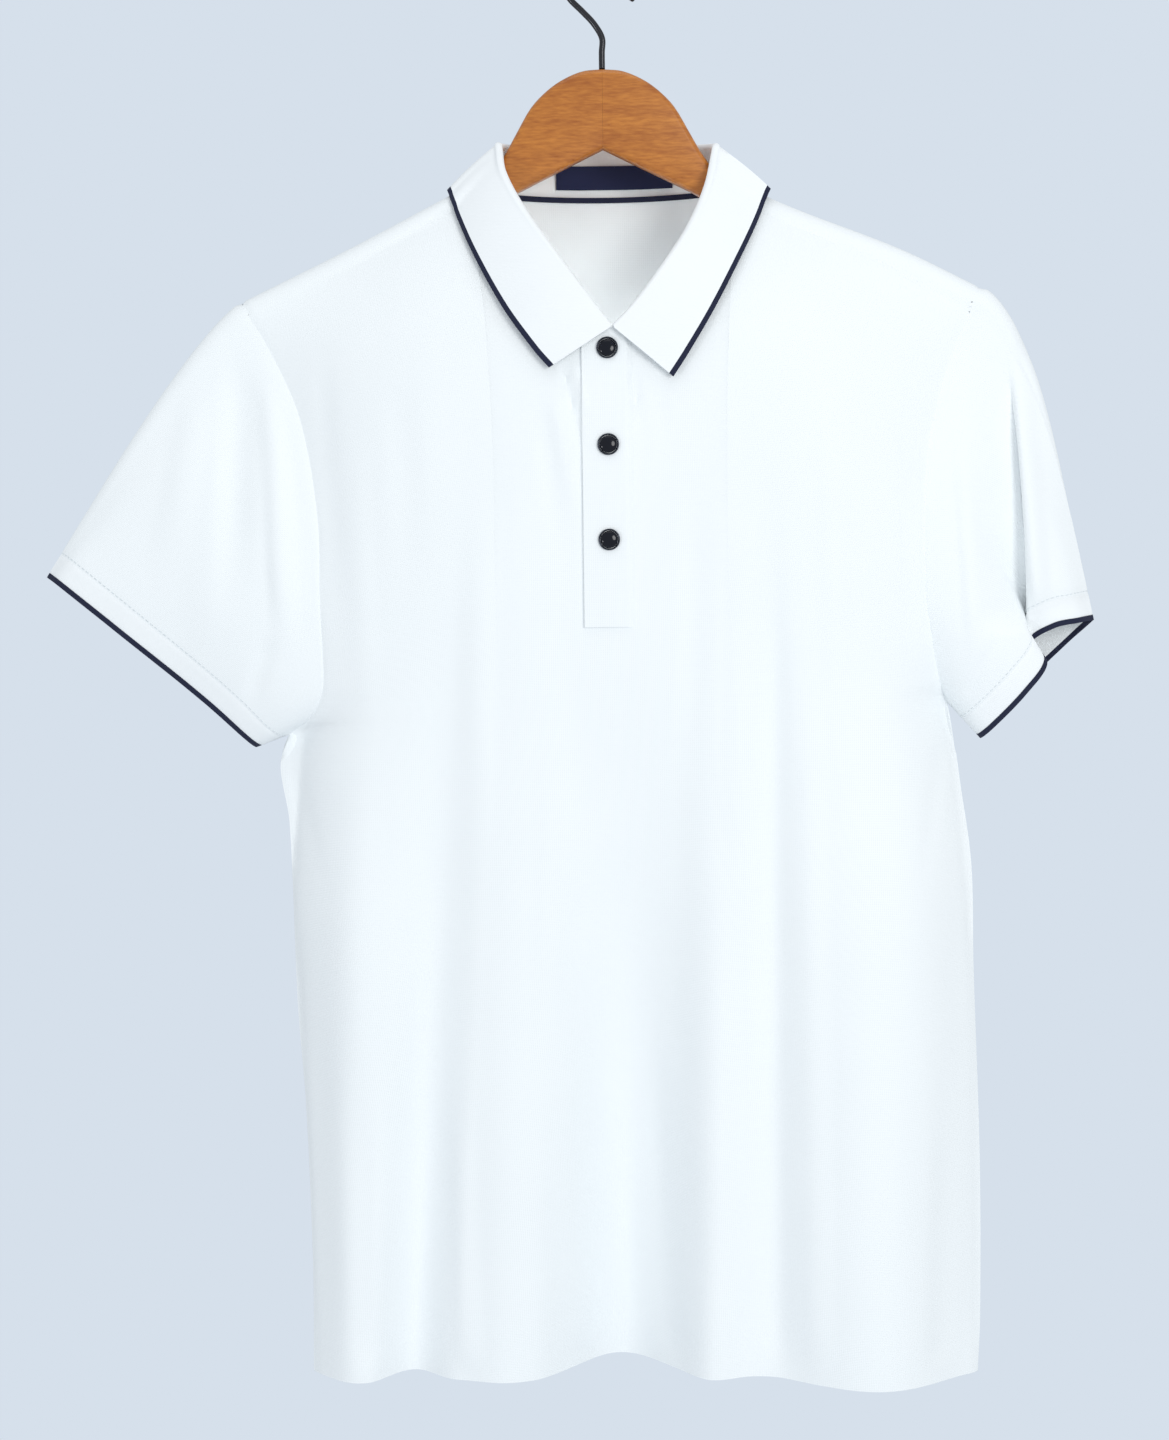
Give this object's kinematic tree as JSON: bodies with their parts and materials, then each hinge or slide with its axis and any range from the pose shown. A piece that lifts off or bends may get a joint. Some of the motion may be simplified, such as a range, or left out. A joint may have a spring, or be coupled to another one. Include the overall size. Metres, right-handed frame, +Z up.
{
  "type": "polo shirt on a hanger",
  "caption": "Short-sleeved knitted polo shirt with tipped rib collar and cuffs and a snap placket, hung on a wooden hanger with a wire hook.",
  "frame": {"origin": "inner top of the hanger's hook, where it hangs on a rail", "axes": "+Z up, -Y towards the shirt's front, +X towards the wearer's left sleeve"},
  "size_m": [0.6222, 0.1162, 0.8515],
  "materials": {
    "pique": "matt cotton pique knit",
    "rib": "matt flat knit rib",
    "tipping": "matt navy knit",
    "label": "smooth woven damask",
    "snap_cap": "gloss, domed",
    "snap_rim": "dark polished metal",
    "lacquered_wood": "satin orange-brown lacquer",
    "wire": "satin black"
  },
  "bodies": {
    "root": {"front_panel": "pique", "back_panel": "pique", "placket_under": "pique", "placket_top": "pique", "collar": "rib", "collar_tipping": "tipping", "neck_tape": "tipping", "neck_label": "label", "right_sleeve": "pique", "right_cuff": "rib", "right_cuff_tipping": "tipping", "left_sleeve": "pique", "left_cuff": "rib", "left_cuff_tipping": "tipping", "snap_cap_1": "snap_cap", "snap_cap_2": "snap_cap", "snap_cap_3": "snap_cap", "snap_ring_1": "snap_rim", "snap_ring_2": "snap_rim", "snap_ring_3": "snap_rim", "hanger_arm_right": "lacquered_wood", "hanger_arm_left": "lacquered_wood", "hanger_hook": "wire"}
  },
  "joints": []
}
